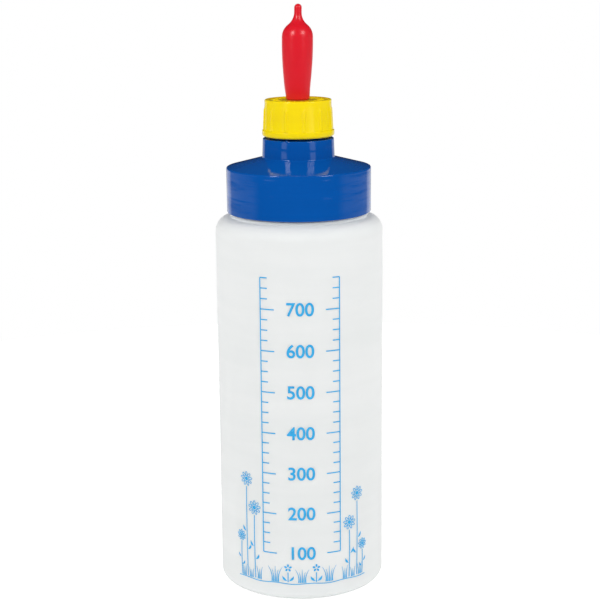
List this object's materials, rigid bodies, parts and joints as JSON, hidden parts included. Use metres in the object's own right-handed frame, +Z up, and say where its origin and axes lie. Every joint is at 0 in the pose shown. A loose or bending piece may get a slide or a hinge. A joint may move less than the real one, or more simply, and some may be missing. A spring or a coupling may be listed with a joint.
{
  "type": "lamb feeding bottle",
  "caption": "Translucent feeding bottle with a wide screw cap, and a ribbed screw collar that holds a rubber teat with a ball air vent.",
  "frame": {"origin": "centre of the base, on the surface that the bottle stands on", "axes": "+Z up along the bottle's axis to the teat's tip, -Y towards the printed front"},
  "size_m": [0.082, 0.082, 0.2868],
  "materials": {
    "milky_plastic": "translucent blown polythene with a fine satin skin",
    "white_foam": "soft matt foam",
    "blue_plastic": "semi-gloss moulded plastic",
    "grey_rubber": "matt rubber",
    "yellow_plastic": "semi-gloss moulded plastic",
    "red_rubber": "smooth soft rubber with a low sheen",
    "polished_steel": "polished"
  },
  "bodies": {
    "bottle": {"bottle": "milky_plastic"},
    "cap_seal": {"cap_seal": "white_foam"},
    "cap": {"cap": "blue_plastic"},
    "spout_seal": {"spout_seal": "grey_rubber"},
    "collar": {"teat_collar": "yellow_plastic", "teat": "red_rubber", "vent_ring": "yellow_plastic"},
    "vent_ball": {"vent_ball": "polished_steel"}
  },
  "joints": [
    {"name": "cap_lift", "type": "slide", "parent": "bottle", "child": "cap_seal", "axis": [0, 0, 1], "range_m": [0, 0.03]},
    {"name": "cap_turn", "type": "hinge", "parent": "cap_seal", "child": "cap", "pos_m": [0, 0, 0.206], "axis": [0, 0, 1], "range_deg": [0, 1800]},
    {"name": "collar_lift", "type": "slide", "parent": "cap", "child": "spout_seal", "axis": [0, 0, 1], "range_m": [0, 0.01588]},
    {"name": "collar_turn", "type": "hinge", "parent": "spout_seal", "child": "collar", "pos_m": [0, 0, 0.2387], "axis": [0, 0, 1], "range_deg": [0, 1800]},
    {"name": "vent_ball_travel", "type": "slide", "parent": "collar", "child": "vent_ball", "axis": [0, 0, 1], "range_m": [0, 0.0015]}
  ],
  "couplings": [
    {"joint": "cap_lift", "follows": "cap_turn", "m_per_rad": 0.0009549},
    {"joint": "collar_lift", "follows": "collar_turn", "m_per_rad": 0.0005053}
  ]
}
